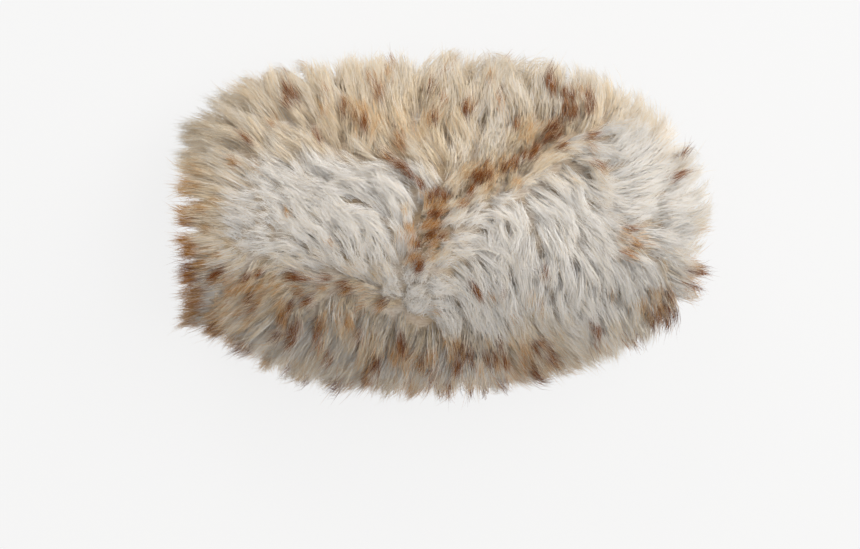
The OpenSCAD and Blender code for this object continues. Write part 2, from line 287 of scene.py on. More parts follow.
def lock_tips(root, normal, lean, reach, depth):
    """Where a lock that leans by reach ends, depth below the envelope of the tips."""
    mouth = mouth_share(root)[:, None]
    aim = root + normal * 0.022 * (1 - 0.8 * mouth) + lean * (reach[:, None] + 8 * MM * mouth)
    origin, direction, distance = envelope(aim)
    tip = origin + direction * (distance - depth)[:, None]
    lip = lip_share(root)
    over = root + normal * LIP_RISE[0] + np.array([-1.0, 0, 0]) * (reach[:, None] * 0.4 + LIP_REACH)
    over += normal * (LIP_RISE[1] * rng.random(len(root)))[:, None]
    return tip * (1 - lip) + over * lip


# ---------------------------------------------------------------------------
# Colour of the pile, by where its tips end
# ---------------------------------------------------------------------------
# Patches on the back where white shafts show: (x, y, half length, half width) in millimetres
WHITE_PATCHES = [(-72, 22, 30, 20), (-50, 6, 40, 28), (-96, 4, 20, 22), (-12, -34, 18, 18),
                 (62, -18, 62, 36), (30, -4, 20, 22), (-4, -50, 16, 14), (24, -50, 18, 14),
                 (92, 42, 26, 14), (112, 10, 26, 30), (-20, 24, 14, 10), (78, -44, 26, 10)]
# Warm brownish patches: tan fur beside the parting and at the near rim, and at the mouth's shaded side
# brownish fur with painted shade
TAN_AND_SHADE_PATCHES = [(-10, 6, 12, 24), (-14, -8, 12, 10), (-78, -44, 44, 17), (-112, -30, 18, 18),
               (-56, -28, 14, 8), (-36, -52, 15, 14), (58, 48, 30, 12), (26, 28, 18, 9),
               (-130, -2, 14, 34), (10, -72, 60, 10), (100, -8, 9, 10), (-30, 58, 34, 12),
               (116, -46, 20, 10)]
# Tufts with dark tips: (x, y, size) in millimetres
PARTING_TUFTS = [(-16, -31, 4), (-11, -19, 3), (-8, -11, 3.5), (-6, -3, 3.5), (1, 6, 3), (8, 16, 4),
                 (13, 21, 6), (19, 26, 5), (25, 33, 2.5), (34, 34, 2.5), (42, 37, 3), (46, 41, 4),
                 (51, 44, 7), (57, 48, 8), (63, 54, 9), (69, 60, 8), (73, 66, 5), (60, 61, 4),
                 (36, 52, 4)]
UPPER_TUFTS = [(-57, 66, 5), (-50, 71, 5), (-54, 61, 5), (-82, 70, 5), (-76, 66, 4), (-44, 56, 4),
               (-56, 50, 4), (-66, 50, 4), (-49, 39, 4), (-34, 36, 4), (-27, 32, 4), (-23, 27, 4),
               (-15, 24, 4), (-104, 43, 5), (-101, 28, 4), (-28, 52, 4), (-20, 62, 4), (-31, 60, 4),
               (0, 51, 4), (-5, 58, 4), (-5, 71, 4), (11, 61, 4), (28, 66, 4), (54, 75, 5),
               (59, 66, 4), (107, 39, 4), (79, 24, 3), (69, 13, 3), (122, 24, 5), (125, 38, 5),
               (-36, 74, 4), (82, 62, 4)]
LOWER_TUFTS = [(-80, -29, 5), (-81, -43, 6), (-74, -41, 5), (-101, -45, 5), (-62, -46, 7),
               (-56, -54, 6), (-66, -58, 4), (-82, -61, 5), (-52, -31, 5), (-18, -33, 5),
               (-15, -70, 5), (-22, -65, 5), (-36, -74, 5), (-46, -62, 4), (-58, -84, 5),
               (-120, -25, 5), (-109, -66, 5), (48, -64, 6), (53, -68, 6), (57, -72, 5), (23, -72, 5),
               (31, -70, 5), (79, -58, 5), (98, -63, 5), (116, -49, 7), (108, -53, 6), (104, -45, 5),
               (18, -37, 4), (12, -30, 3), (27, -39, 3), (134, -16, 5), (132, -34, 5), (135, -25, 4),
               (44, -14, 3), (55, -24, 3), (50, -29, 3), (68, -11, 3), (69, -46, 4), (-4, -60, 4),
               (4, -78, 5)]


def patch(p, patches):
    """How deep each point is inside the nearest of the elliptical patches, 0 to 1, seen from above."""
    best = np.zeros(len(p))
    for x, y, a, b in patches:
        d = np.hypot((p[:, 0] / MM - x) / a, (p[:, 1] / MM - y) / b)
        best = np.maximum(best, smooth((1.25 - d) / 0.6))
    return best


def lock_tones(tips, up):
    """Warmth of the shaft and darkness of the tips, both 0 to 1, for locks that end at tips.

    up is 1 on the back of the mitt and 0 on the palm side.
    """
    grain = noise_at(tips, 0.016, 5)
    wide = noise_at(tips, 0.05, 6)
    fringe = smooth((-0.118 - tips[:, 0]) / 0.01)
    white = patch(tips, WHITE_PATCHES) * up
    # tan is 1 in the warm brownish patches; the one at the mouth's edge holds painted shade as well as
    # brownish fur.
    tan = patch(tips, TAN_AND_SHADE_PATCHES) * up
    # Towards the upper side the shafts grow warmer and the tips paler: partly the fur's own cream, partly
    # painted warm light from above.
    upper_cream_and_warm_light = smooth((tips[:, 1] + 0.002) / 0.05)
    warm = 0.30 + 0.5 * upper_cream_and_warm_light + 0.45 * tan - 0.95 * white + 0.35 * wide[:, 0]
    dark = 0.24 + 0.30 * tan - 0.28 * white * (1 - tan) - 0.12 * upper_cream_and_warm_light
    dark = dark + 0.16 * grain[:, 0] + 0.08 * wide[:, 1]
    outline = np.abs(tips[:, 0] / LENGTH_HALF) ** 3 + np.abs(tips[:, 1] / WIDTH_HALF) ** 3
    rim = smooth((outline - 0.72) / 0.25)
    lower_rim = rim * smooth((0.01 - tips[:, 1]) / 0.04)
    dark += 0.10 * rim + 0.20 * lower_rim
    chance = rng.random(len(tips))
    share = (0.045 + 0.11 * lower_rim + 0.12 * tan - 0.015 * upper_cream_and_warm_light - 0.03 * white) * (1 - fringe)
    dark += 0.55 * (chance < share)
    for x, y, size in PARTING_TUFTS + UPPER_TUFTS + LOWER_TUFTS:
        d = np.hypot(tips[:, 0] / MM - x, tips[:, 1] / MM - y)
        inside = (d < size * 0.7) & (tips[:, 2] > SEAM_Z + 5 * MM)
        dark = np.maximum(dark, up * (1.0 - 0.2 * grain[:, 1] ** 2) * inside)
    return np.clip(warm, 0, 1), np.clip(dark, 0, 1)


# ---------------------------------------------------------------------------
# Materials
# ---------------------------------------------------------------------------
def srgb(r, g, b):
    """A colour given as 0 to 255 display values, as the linear values that a shader takes."""
    linear = ((c / 255 / 12.92) if c <= 10 else (((c / 255) + 0.055) / 1.055) ** 2.4 for c in (r, g, b))
    return tuple(linear) + (1.0,)


class Nodes:
    """Short ways to build a material's node tree."""

    def __init__(self, name):
        self.material = bpy.data.materials.new(name)
        self.material.use_nodes = True
        self.tree = self.material.node_tree
        self.shader = self.tree.nodes["Principled BSDF"]

    def add(self, kind, **values):
        node = self.tree.nodes.new(kind)
        for key, value in values.items():
            setattr(node, key, value)
        return node

    def put(self, socket, value):
        if isinstance(value, bpy.types.NodeSocket):
            self.tree.links.new(value, socket)
        else:
            socket.default_value = value

    def math(self, operation, a, b=0.0, clamp=False):
        node = self.add("ShaderNodeMath", operation=operation, use_clamp=clamp)
        self.put(node.inputs[0], a)
        self.put(node.inputs[1], b)
        return node.outputs[0]

    def mix(self, factor, a, b, blend="MIX"):
        node = self.add("ShaderNodeMix", data_type="RGBA", blend_type=blend)
        self.put(node.inputs["Factor"], factor)
        self.put(node.inputs[6], a)
        self.put(node.inputs[7], b)
        return node.outputs[2]

    def ramp(self, factor, stops):
        node = self.add("ShaderNodeValToRGB")
        ramp = node.color_ramp
        while len(ramp.elements) < len(stops):
            ramp.elements.new(0.5)
        for element, (at, colour) in zip(ramp.elements, stops):
            element.position, element.color = at, colour
        self.put(node.inputs[0], factor)
        return node.outputs[0]

    def map_range(self, value, low, high, to_low=0.0, to_high=1.0, kind="SMOOTHSTEP"):
        node = self.add("ShaderNodeMapRange", interpolation_type=kind)
        for socket, v in zip(node.inputs, (value, low, high, to_low, to_high)):
            self.put(socket, v)
        return node.outputs[0]

    def set(self, **values):
        for key, value in values.items():
            self.put(self.shader.inputs[key.replace("_", " ")], value)


def fibre_material(name):
    """Pile fibres: the UV's u names a tone and its v runs from root to tip."""
    m = Nodes(name)
    uv = m.add("ShaderNodeSeparateXYZ")
    m.put(uv.inputs[0], m.add("ShaderNodeUVMap", uv_map="OFBake").outputs[0])
    along = uv.outputs[1]
    column = m.math("FLOOR", m.math("MULTIPLY", uv.outputs[0], COLUMNS))
    level = m.math("DIVIDE", m.math("MODULO", column, TIP_LEVELS), TIP_LEVELS - 1)
    warm = m.math("DIVIDE", m.math("FLOOR", m.math("DIVIDE", column, TIP_LEVELS)), WARM_LEVELS - 1)
    shaft = m.mix(warm, srgb(250, 247, 243), srgb(243, 224, 194))
    # The fibres' bases are darker and warmer than their shafts: painted warm shade, down between the locks
    # where shade falls.
    root = m.mix(warm, srgb(243, 234, 221), srgb(238, 213, 180))
    body = m.mix(m.map_range(along, 0.05, 0.4), root, shaft)
    tip = m.ramp(level, [(0.0, srgb(248, 245, 240)), (0.3, srgb(232, 212, 176)), (0.52, srgb(212, 160, 90)),
                         (0.76, srgb(172, 106, 38)), (1.0, srgb(112, 56, 10))])
    start = m.math("SUBTRACT", 0.76, m.math("MULTIPLY", level, 0.18))
    end = m.math("ADD", start, 0.19)
    colour = m.mix(m.map_range(along, start, end), body, tip)
    m.set(Base_Color=colour, Roughness=m.map_range(along, 0.0, 1.0, 0.42, 0.6), Specular_IOR_Level=0.25,
          Sheen_Weight=0.15, Sheen_Roughness=0.4)
    return m.material


# ---------------------------------------------------------------------------
# Fibre meshes
# ---------------------------------------------------------------------------
def strand_frames(curves):
    """Which way is outwards along each strand, and two ways across it, the first of them inwards."""
    tangent = unit(np.gradient(curves, axis=1))
    outward = unit(curves - axis_point(curves))
    helper = outward + 0.15 * unit(rng.normal(size=(len(curves), 1, 3)))
    side = unit(tangent * np.sum(helper * tangent, axis=-1, keepdims=True) - helper)
    return outward, side, np.cross(tangent, side)


def tube_faces(points):
    """Faces of one closed three-sided tube of that many points, and its corners' u and v, 0 to 1."""
    rings = points - 1
    i, j = np.meshgrid(np.arange(rings - 1), np.arange(3), indexing="ij")
    i, j = i.ravel(), j.ravel()
    k = (j + 1) % 3
    quads = np.stack([i * 3 + j, i * 3 + k, (i + 1) * 3 + k, (i + 1) * 3 + j], axis=1)
    last = (rings - 1) * 3
    tris = np.array([[last + a, last + (a + 1) % 3, rings * 3] for a in range(3)] + [[2, 1, 0]])
    sides_u = np.stack([j, j + 1, j + 1, j], axis=1) / 3
    sides_v = np.stack([i, i, i + 1, i + 1], axis=1) / (points - 1)
    tri_u = np.array([[a, a + 1, a + 0.5] for a in range(3)] + [[2, 1, 0]]) / 3
    tri_v = np.array([[rings - 1, rings - 1, points - 1]] * 3 + [[0, 0, 0]]) / (points - 1)
    u = np.concatenate([sides_u.ravel(), tri_u.ravel()])
    return quads, tris, u, np.concatenate([sides_v.ravel(), tri_v.ravel()])


def fibres(name, curves, radii, column, material):
    """One mesh of closed three-sided tapered fibres that follow the curves.

    A flat face of each fibre looks outwards, and its shading normals lean outwards too, so that a lock
    shades as one soft surface.
    """
    count, points = radii.shape
    rings = points - 1
    outward, side, up = strand_frames(curves)
    corner = np.arange(3) * 2 * math.pi / 3
    wheel = np.cos(corner)[None, None, :, None] * side[:, :rings, None, :]
    wheel = wheel + np.sin(corner)[None, None, :, None] * up[:, :rings, None, :]
    ring = curves[:, :rings, None, :] + wheel * radii[:, :rings, None, None]
    vertices = np.concatenate([ring.reshape(count, rings * 3, 3), curves[:, -1:, :]], axis=1)
    soft = unit(wheel * (1 - SOFT_SHADE) + outward[:, :rings, None, :] * SOFT_SHADE)
    normals = np.concatenate([soft.reshape(count, rings * 3, 3), outward[:, -1:, :]], axis=1)
    per = rings * 3 + 1

    quads, tris, tube_u, tube_v = tube_faces(points)
    offset = (np.arange(count) * per)[:, None]
    loops = np.concatenate([quads.ravel(), tris.ravel()])
    loop_vertex = (loops[None, :] + offset).ravel()
    total = np.concatenate([np.full(len(quads), 4), np.full(len(tris), 3)])
    loop_total = np.tile(total, count)
    loop_start = np.concatenate([[0], np.cumsum(loop_total)[:-1]])
    u = UV_INSET + (1 - 2 * UV_INSET) * tube_u
    v = 0.01 + 0.98 * tube_v
    uv = np.empty((count, len(loops), 2), np.float32)
    uv[:, :, 0] = (column[:, None] + u[None, :]) / COLUMNS
    uv[:, :, 1] = v[None, :]

    mesh = bpy.data.meshes.new(name)
    mesh.vertices.add(count * per)
    mesh.vertices.foreach_set("co", vertices.astype(np.float32).ravel())
    mesh.loops.add(len(loop_vertex))
    mesh.loops.foreach_set("vertex_index", loop_vertex.astype(np.int32))
    mesh.polygons.add(len(loop_total))
    mesh.polygons.foreach_set("loop_start", loop_start.astype(np.int32))
    mesh.polygons.foreach_set("use_smooth", np.ones(len(loop_total), bool))
    mesh.uv_layers.new(name="OFBake").data.foreach_set("uv", uv.ravel())
    mesh.update(calc_edges=True)
    mesh.normals_split_custom_set_from_vertices(normals.reshape(-1, 3).tolist())
    mesh.materials.append(material)
    piece = bpy.data.objects.new(name, mesh)
    bpy.context.scene.collection.objects.link(piece)
    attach(piece, BODY)
    return piece


def bezier(a, b, c, d, s):
    s = s[None, :, None]
    a, b, c, d = (x[:, None, :] for x in (a, b, c, d))
    return a * (1 - s) ** 3 + 3 * b * s * (1 - s) ** 2 + 3 * c * s ** 2 * (1 - s) + d * s ** 3


def press(points, floor):
    """Bends what would pass through the floor flat along it."""
    z = points[..., 2]
    knee = floor + 6 * MM
    low = z < knee
    bent = floor + (knee - floor) * np.exp((np.minimum(z, knee) - knee) / (knee - floor))
    points[..., 2] = np.where(low, bent, z)
    return points


def grow_locks(root, normal, up):
    """The locks' roots, tips, elbows, rise, lengths, shares of lip, ways across and tones."""
    pick = spread(root[:BIG_ROOTS], BIG_LOCK)
    big, big_n = root[pick], normal[pick]
    big_lean = flow(big, big_n)
    big_reach = (13 + 9 * rng.random(len(big))) * MM * reach_share(big)
    big_tip = lock_tips(big, big_n, big_lean, big_reach, np.full(len(big), 2 * MM))

    pick = spread(root[:SMALL_ROOTS], SMALL_LOCK)
    small, small_n = root[pick], normal[pick]
    parent = nearest(small, big)
    lean = unit(flow(small, small_n) + 0.5 * big_lean[parent] + 0.3 * rng.normal(size=small.shape))
    reach = (7 + 15 * rng.random(len(small))) * MM * reach_share(small)
    depth = (-2.0 + 4.5 * rng.random(len(small)) ** 1.3) * MM
    tip = lock_tips(small, small_n, lean, reach, depth)
    tip += (big_tip[parent] - tip) * 0.3
    warm, dark = lock_tones(tip, up)
    depth = np.where(dark > DARK_LOCK, -2.5 * MM, depth)
    origin, direction, distance = envelope(tip)
    lip = lip_share(small)
    tip = (origin + direction * (distance - depth)[:, None]) * (1 - lip) + tip * lip
    length = np.linalg.norm(tip - small, axis=1)[:, None]
    end_way = unit(lean + 0.55 * direction + 0.25 * rng.normal(size=lean.shape))
    elbow = tip - end_way * 0.38 * length
    rise = 0.42 - 0.2 * mouth_share(small)[:, None]
    return small, tip, elbow, rise, length, lip, np.cross(end_way, direction), warm, dark


def waved(curves, s, wave_way, phase):
    """The curves with a slight wave that grows towards their tips."""
    size = (0.35 + 0.6 * rng.random(len(curves))) * MM
    turns = 0.8 + 1.0 * rng.random(len(curves))
    swing = np.sin(phase[:, None] + 6.283 * turns[:, None] * s[None, :]) * s[None, :] * size[:, None]
    return curves + wave_way[:, None, :] * swing[:, :, None]


def grow(node, count, up):
    """Fibre curves, radii and tones for one side's pile."""
    root, normal = scatter(backing_faces(node), count)
    keep = root[:, 0] > BINDING_END + 0.3 * MM
    root, normal = root[keep], normal[keep]
    lock, lock_tip, elbow, rise, length, lip, across, warm, dark = grow_locks(root, normal, up)

    own = nearest(root, lock)
    offset = root - lock[own]
    loose = rng.random(len(root))[:, None]
    drawn = np.where(dark > DARK_LOCK, 0.3, 1.0)[own][:, None]
    gather = np.where(loose < 0.25, 1.15, 0.5 + 0.5 * loose) * drawn
    gather += (1.1 - gather) * 0.8 * lip[own]
    jitter = np.clip(rng.normal(size=root.shape), -2.2, 2.2)
    tip = lock_tip[own] + offset * gather + jitter * (0.9 + 2.8 * loose ** 4) * MM
    tip -= (tip - axis_point(tip)) * (0.13 * rng.random(len(root)) ** 1.6)[:, None]
    b = root + normal * rise[own] * length[own]
    c = elbow[own] + offset * (0.35 + 0.5 * gather) + 1.5 * rng.normal(size=root.shape) * MM
    crossing = seam_share(root) * rng.normal(size=len(root)) * 6 * MM
    tip[:, 2] += crossing
    c[:, 2] += 0.6 * crossing
    s = np.linspace(0, 1, STRAND_POINTS)
    curves = bezier(root - normal * 0.4 * MM, b, c, tip, s)
    wave_way = unit(across[own] + 0.5 * jitter)
    phase = (6.3 * rng.random(len(lock)))[own] + 0.9 * rng.normal(size=len(root))
    curves = press(waved(curves, s, wave_way, phase), 0.35 * MM)

    taper = (1 - 0.7 * s ** 1.5)
    taper[-1] = 0
    radii = ROOT_R * (0.65 + 0.6 * rng.random(len(root)))[:, None] * taper[None, :]
    level = dark[own] + 0.11 * rng.normal(size=len(root)) - 0.3 * (rng.random(len(root)) < 0.1)
    level = np.clip(np.round(level * (TIP_LEVELS - 1)), 0, TIP_LEVELS - 1)
    heat = warm[own] + 0.3 * rng.normal(size=len(root))
    heat = np.clip(np.round(heat * (WARM_LEVELS - 1)), 0, WARM_LEVELS - 1)
    return curves, radii, heat * TIP_LEVELS + level, root


def points_and_normals(mesh):
    points = np.empty(len(mesh.vertices) * 3, np.float32)
    normals = np.empty(len(mesh.vertices) * 3, np.float32)
    mesh.vertices.foreach_get("co", points)
    mesh.vertices.foreach_get("normal", normals)
    return points.reshape(-1, 3).astype(float), normals.reshape(-1, 3).astype(float)


def move_points(mesh, points):
    mesh.vertices.foreach_set("co", points.astype(np.float32).ravel())
    mesh.update()


def undercoat_material():
    m = Nodes("underwool")
    where = m.add("ShaderNodeTexCoord").outputs["Object"]
    stretch = m.add("ShaderNodeMapping")
    m.put(stretch.inputs[0], where)
    m.put(stretch.inputs[3], (240, 900, 500))
    fine = m.add("ShaderNodeTexNoise")
    m.put(fine.inputs["Vector"], stretch.outputs[0])
    m.put(fine.inputs["Scale"], 1.0)
    m.put(fine.inputs["Detail"], 4.0)
    m.put(fine.inputs["Distortion"], 1.5)
    patchy = m.add("ShaderNodeTexNoise")
    m.put(patchy.inputs["Vector"], where)
    m.put(patchy.inputs["Scale"], 60.0)
    m.put(patchy.inputs["Detail"], 3.0)
    tone = m.mix(m.map_range(patchy.outputs[0], 0.35, 0.65), srgb(228, 221, 211), srgb(210, 192, 165))
    tone = m.mix(m.map_range(fine.outputs[0], 0.3, 0.7), m.mix(0.45, tone, srgb(150, 112, 76)), tone)
    bump = m.add("ShaderNodeBump")
    m.put(bump.inputs["Strength"], 0.8)
    m.put(bump.inputs["Distance"], 0.0006)
    m.put(bump.inputs["Height"], fine.outputs[0])
    m.set(Base_Color=tone, Roughness=m.map_range(fine.outputs[0], 0.3, 0.7, 0.9, 0.7),
          Normal=bump.outputs[0], Specular_IOR_Level=0.2, Sheen_Weight=0.3)
    return m.material


def remesh(piece, voxel):
    """Rebuilds the piece as one even closed mesh, applied."""
    bpy.context.view_layer.objects.active = piece
    modifier = piece.modifiers.new("remesh", "REMESH")
    modifier.mode, modifier.voxel_size, modifier.use_smooth_shade = "VOXEL", voxel, True
    bpy.ops.object.modifier_apply(modifier=modifier.name)


def make_undercoat(side):
    """The short dense underwool: the CAD pile drawn in to part of its height, with lumps."""
    points, tris = node_mesh(side + "_pile")
    backing = tree_of("back_panel", "palm_panel")
    origin = axis_point(points)
    gap = points - origin
    gap[:, 2] += np.where(np.abs(gap[:, 2]) < 1.5 * MM, 1.5 * MM if side == "back" else -1.5 * MM, 0)
    reach = np.linalg.norm(gap, axis=1)
    for i, (o, d, r) in enumerate(zip(origin, unit(gap), reach)):
        hit = backing.ray_cast(Vector(o + d * r), Vector(-d), r)
        if hit[0] is not None and hit[3] > 2 * MM:
            points[i] -= d * hit[3] * (1 - UNDERWOOL_SHARE)
    at_seam = np.abs(points[:, 2] - SEAM_Z) < 1 * MM
    points[at_seam, 2] -= 2.5 * MM if side == "back" else -2.5 * MM
    past = np.minimum(points[:, 0] - BINDING_END, 0)
    points[:, 0] -= past * 0.92
    name = side + "_underwool"
    mesh = bpy.data.meshes.new(name)
    mesh.from_pydata(points.tolist(), [], tris.tolist())
    piece = bpy.data.objects.new(name, mesh)
    bpy.context.scene.collection.objects.link(piece)
    remesh(piece, 2.0 * MM)
    points, normals = points_and_normals(piece.data)
    outward = np.sum(normals * (points - axis_point(points)), axis=1) > 0
    lumps = noise_at(points, 7 * MM, 8)[:, 0] + 0.6 * noise_at(points, 3.1 * MM, 9)[:, 0]
    move_points(piece.data, points + normals * (lumps * outward * 1.4 * MM)[:, None])
    piece.data.materials.append(undercoat_material())
    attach(piece, BODY)
    return piece


def make_fur(side, node, count, up, replaced):
    curves, radii, column, root = grow(node, count, up)
    material = fibre_material(side + "_fibre")
    angle = np.arctan2(root[:, 1], root[:, 0] + 1e-9)
    order = np.argsort(angle, kind="stable")
    groups = np.array_split(order, max(1, math.ceil(len(order) / PIECE_STRANDS)))
    for i, group in enumerate(groups):
        piece = fibres(f"{side}_locks_{i + 1:02d}", curves[group], radii[group], column[group],
                       material)
        if i == 0:
            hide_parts(replaced)


# ---------------------------------------------------------------------------
# Cloth and thread materials
# ---------------------------------------------------------------------------
def waves(m, uv, axis, pitch, distortion=0.0):
    """A wave from 0 to 1 across one direction of the UV, which is in metres."""
    wave = m.add("ShaderNodeTexWave", wave_type="BANDS", bands_direction=axis)
    m.put(wave.inputs["Vector"], uv)
    m.put(wave.inputs["Scale"], 2 * math.pi / 20 / pitch)
    m.put(wave.inputs["Distortion"], distortion)
    return wave.outputs[1]


def noise_texture(m, vector, scale, detail=2.0):
    texture = m.add("ShaderNodeTexNoise")
    m.put(texture.inputs["Vector"], vector)
    m.put(texture.inputs["Scale"], scale)
    m.put(texture.inputs["Detail"], detail)
    return texture.outputs[0]


def cloth_material(name, light, dark, across, along, height, bare=0.85):
    """A woven or knitted cloth: two crossed sets of yarns, a little uneven in tone and in wear."""
    m = Nodes(name)
    uv = m.add("ShaderNodeUVMap", uv_map="cloth").outputs[0]
    yarn = m.math("MULTIPLY", waves(m, uv, "X", across, 0.4), waves(m, uv, "Y", along, 0.4))
    cloud = noise_texture(m, uv, 90.0, 4.0)
    fuzz = noise_texture(m, uv, 2600.0)
    tone = m.mix(m.map_range(yarn, 0.0, 0.7), srgb(*dark), srgb(*light))
    tone = m.mix(m.map_range(cloud, 0.4, 0.75, 0.0, 0.3), tone, srgb(*dark))
    tone = m.mix(m.map_range(fuzz, 0.5, 0.8, 0.0, 0.25), tone, srgb(250, 248, 244))
    bump = m.add("ShaderNodeBump")
    m.put(bump.inputs["Strength"], 0.7)
    m.put(bump.inputs["Distance"], height)
    m.put(bump.inputs["Height"], m.math("ADD", yarn, m.math("MULTIPLY", fuzz, 0.4)))
    m.set(Base_Color=tone, Roughness=m.map_range(yarn, 0.0, 1.0, 0.95, bare), Normal=bump.outputs[0],
          Specular_IOR_Level=0.25, Sheen_Weight=0.35, Sheen_Roughness=0.5)
    return m.material


def hide_material():
    """The backing's leather side: fine pores and soft mottling."""
    m = Nodes("backing_hide")
    where = m.add("ShaderNodeTexCoord").outputs["Object"]
    pores = m.add("ShaderNodeTexVoronoi")
    m.put(pores.inputs["Vector"], where)
    m.put(pores.inputs["Scale"], 900.0)
    mottle = noise_texture(m, where, 45.0, 5.0)
    tone = m.mix(m.map_range(mottle, 0.35, 0.7), srgb(226, 208, 180), srgb(204, 180, 146))
    tone = m.mix(m.map_range(pores.outputs[0], 0.0, 0.25, 0.35, 0.0), tone, srgb(168, 138, 104))
    bump = m.add("ShaderNodeBump")
    m.put(bump.inputs["Strength"], 0.5)
    m.put(bump.inputs["Distance"], 0.0002)
    m.put(bump.inputs["Height"], pores.outputs[0])
    m.set(Base_Color=tone, Roughness=m.map_range(mottle, 0.3, 0.7, 0.75, 0.9), Normal=bump.outputs[0],
          Specular_IOR_Level=0.3, Sheen_Weight=0.2)
    return m.material


def thread_material(name, light, dark):
    """Two-ply sewing thread: slanted turns of yarn with a soft gloss."""
    m = Nodes(name)
    where = m.add("ShaderNodeTexCoord").outputs["Object"]
    ply = m.add("ShaderNodeTexWave", wave_type="BANDS", bands_direction="DIAGONAL")
    m.put(ply.inputs["Vector"], where)
    m.put(ply.inputs["Scale"], 700.0)
    m.put(ply.inputs["Distortion"], 1.2)
    cloud = noise_texture(m, where, 300.0)
    tone = m.mix(m.map_range(ply.outputs[1], 0.1, 0.8), srgb(*dark), srgb(*light))
    tone = m.mix(m.map_range(cloud, 0.4, 0.8, 0.0, 0.25), tone, srgb(*dark))
    bump = m.add("ShaderNodeBump")
    m.put(bump.inputs["Strength"], 0.6)
    m.put(bump.inputs["Distance"], 0.00008)
    m.put(bump.inputs["Height"], ply.outputs[1])
    m.set(Base_Color=tone, Roughness=m.map_range(ply.outputs[1], 0.0, 1.0, 0.65, 0.45),
          Normal=bump.outputs[0], Specular_IOR_Level=0.4, Sheen_Weight=0.2)
    return m.material


# ---------------------------------------------------------------------------
# Cloth pieces, built on rays from the mitt's axis
# ---------------------------------------------------------------------------
def hits(tree, origins, directions):
    """Distances at which each ray meets the tree's faces, first and last, or nan."""
    first = np.full(len(origins), np.nan)
    last = np.full(len(origins), np.nan)
    for i, (o, d) in enumerate(zip(origins, directions)):
        near = tree.ray_cast(Vector(o), Vector(d), 0.2)
        if near[0] is None:
            continue
        far = tree.ray_cast(Vector(o + d * 0.2), Vector(-d), 0.2)
        first[i], last[i] = near[3], 0.2 - far[3]
    return first, last


def mend(grid, axis):
    """Fills nan in a grid of numbers from the nearest good ones along one axis."""
    grid = np.moveaxis(grid, axis, 0)
    rows = np.arange(len(grid))
    flat = grid.reshape(len(grid), -1)
    for column in flat.T:
        good = ~np.isnan(column)
        if good.any() and not good.all():
            column[~good] = np.interp(rows[~good], rows[good], column[good])
    return np.moveaxis(flat.reshape(grid.shape), 0, axis)


def add_piece(name, points, faces, material):
    mesh = bpy.data.meshes.new(name)
    mesh.from_pydata(np.asarray(points).tolist(), [], faces)
    mesh.polygons.foreach_set("use_smooth", np.ones(len(mesh.polygons), bool))
    mesh.materials.append(material)
    piece = bpy.data.objects.new(name, mesh)
    bpy.context.scene.collection.objects.link(piece)
    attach(piece, BODY)
    return piece


def grid_faces(rows, columns, wrap=False, start=0):
    """Quads of a grid whose rows follow each other in the point list."""
    last = columns if wrap else columns - 1
    return [[start + i * columns + j, start + i * columns + (j + 1) % columns,
             start + (i + 1) * columns + (j + 1) % columns, start + (i + 1) * columns + j]
            for i in range(rows - 1) for j in range(last)]


def lay_uv(piece, u, v):
    """A UV layer in metres, given per point, for the weave."""
    layer = piece.data.uv_layers.new(name="cloth")
    corner = np.empty(len(piece.data.loops), np.int32)
    piece.data.loops.foreach_get("vertex_index", corner)
    layer.data.foreach_set("uv", np.stack([u[corner], v[corner]], axis=1).astype(np.float32).ravel())


def apply(piece, kind, **values):
    modifier = piece.modifiers.new(kind, kind)
    for key, value in values.items():
        setattr(modifier, key, value)
    bpy.context.view_layer.objects.active = piece
    bpy.ops.object.modifier_apply(modifier=modifier.name)


def settle(piece, pinned, gravity, slack, frames=18):
    """Runs cloth on the piece, pinned at some points, and returns where its points come to."""
    group = piece.vertex_groups.new(name="pin")
    group.add(pinned, 1.0, "REPLACE")
    cloth = piece.modifiers.new("cloth", "CLOTH")
    fabric = cloth.settings
    fabric.quality, fabric.mass = 6, 0.02
    fabric.tension_stiffness = fabric.compression_stiffness = 12
    fabric.shear_stiffness, fabric.bending_stiffness = 4, 0.03
    fabric.vertex_group_mass = "pin"
    fabric.shrink_min = -slack
    fabric.effector_weights.gravity = gravity
    cloth.point_cache.frame_start, cloth.point_cache.frame_end = 1, frames
    for f in range(1, frames + 1):
        bpy.context.scene.frame_set(f)
    seen = piece.evaluated_get(bpy.context.evaluated_depsgraph_get()).data
    points = np.empty(len(seen.vertices) * 3, np.float32)
    seen.vertices.foreach_get("co", points)
    piece.modifiers.remove(cloth)
    piece.vertex_groups.remove(group)
    bpy.context.scene.frame_set(1)
    return points.reshape(-1, 3).astype(float)


LINING_FAN_X = 0.055
LINING_T = 1.0 * MM
LINING_SINK = 4.5 * MM


def lining_rays(side):
    """Rays that run round one half of the pouch, straight out and then fanned towards the fingertips."""
    start = EDGE_X + 0.6 * MM
    straight = np.linspace(start, LINING_FAN_X, 60)
    fan = np.radians(np.linspace(0, 86, 22))[1:]
    x = np.concatenate([straight, np.full(len(fan), LINING_FAN_X)])
    turn = np.concatenate([np.zeros(len(straight)), fan])
    angle = np.radians(np.linspace(0.4, 179.6, 47)) * (1 if side == "back" else -1)
    turn, angle = np.meshgrid(turn, angle, indexing="ij")
    origins = np.zeros(turn.shape + (3,))
    origins[..., 0], origins[..., 2] = x[:, None], SEAM_Z
    directions = np.stack([np.sin(turn), np.cos(turn) * np.cos(angle), np.cos(turn) * np.sin(angle)], -1)
    return origins, directions


